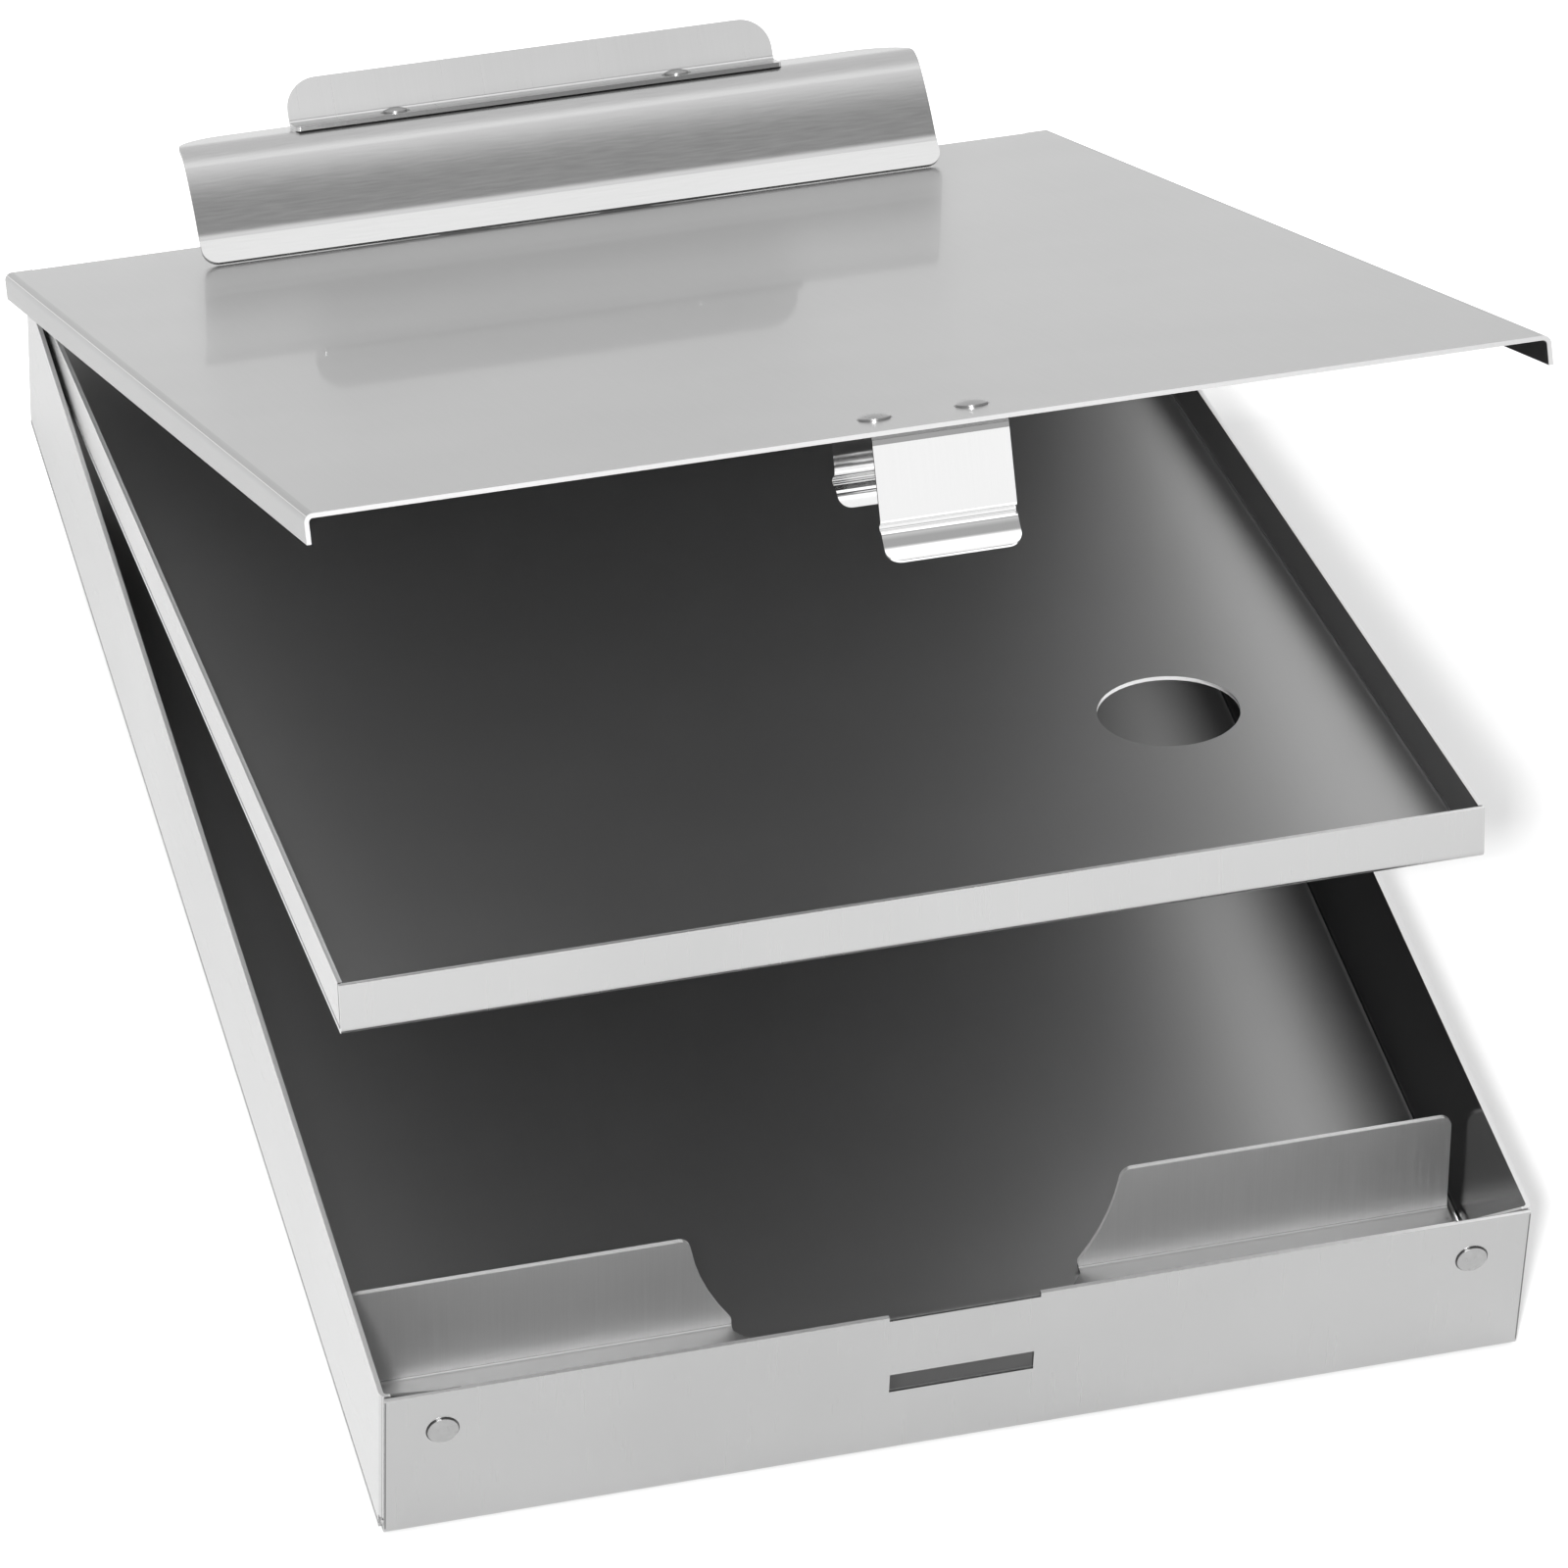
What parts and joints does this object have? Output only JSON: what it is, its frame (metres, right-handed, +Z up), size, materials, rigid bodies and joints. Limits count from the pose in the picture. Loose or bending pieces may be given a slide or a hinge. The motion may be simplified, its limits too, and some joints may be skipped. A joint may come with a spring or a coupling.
{
  "type": "storage clipboard box",
  "caption": "Aluminium storage clipboard: shallow box with pen well, hinged middle tray with finger hole, hinged lid with spring latch and paper clip, sharing a rear hinge.",
  "frame": {"origin": "centre of the box's underside", "axes": "+Z up; +Y to the rear, where the hinge runs along X; -Y is the front with the latch slot"},
  "size_m": [0.242, 0.3745, 0.2212],
  "materials": {
    "sheet": "fine brushed, clear",
    "sheet_inner": "fine brushed, darker",
    "clip_steel": "satin plated",
    "latch_chrome": "bright plated",
    "rivet": "smooth",
    "pin_steel": "drawn wire"
  },
  "bodies": {
    "box": {"base_box": "sheet", "front_corner_rivets": "rivet", "rear_corner_rivets": "rivet", "paper_stop": "sheet_inner", "hinge_pin": "pin_steel"},
    "tray": {"middle_tray": "sheet"},
    "lid": {"lid_plate": "sheet", "latch_web": "latch_chrome", "latch_rivets": "rivet", "clip_base": "clip_steel", "clip_base_rivets": "rivet"},
    "front_catch": {"latch_front_leg": "latch_chrome"},
    "rear_catch": {"latch_rear_leg": "latch_chrome"},
    "clip": {"clip_jaw": "clip_steel", "clip_lever": "clip_steel", "lever_rivets": "rivet", "clip_rod": "pin_steel", "clip_spring": "pin_steel"}
  },
  "joints": [
    {"name": "tray_hinge", "type": "hinge", "parent": "box", "child": "tray", "pos_m": [0, 0.1787, 0.0327], "axis": [-1, 0, 0], "range_deg": [-12.6, 47.4]},
    {"name": "lid_hinge", "type": "hinge", "parent": "tray", "child": "lid", "pos_m": [0, 0.1787, 0.0327], "axis": [-1, 0, 0], "range_deg": [-18.1, 61.9]},
    {"name": "front_catch_flex", "type": "hinge", "parent": "lid", "child": "front_catch", "pos_m": [0, -0.12519, 0.21721], "axis": [-1, 0, 0], "range_deg": [0, 8], "stiffness_Nm_per_rad": 3},
    {"name": "rear_catch_flex", "type": "hinge", "parent": "lid", "child": "rear_catch", "pos_m": [0, -0.09836, 0.20128], "axis": [-1, 0, 0], "range_deg": [0, 14], "stiffness_Nm_per_rad": 1},
    {"name": "clip_pivot", "type": "hinge", "parent": "lid", "child": "clip", "pos_m": [0, 0.18257, 0.04657], "axis": [-1, 0, 0], "range_deg": [0, 25], "stiffness_Nm_per_rad": 2, "springref_deg": -11.46}
  ]
}
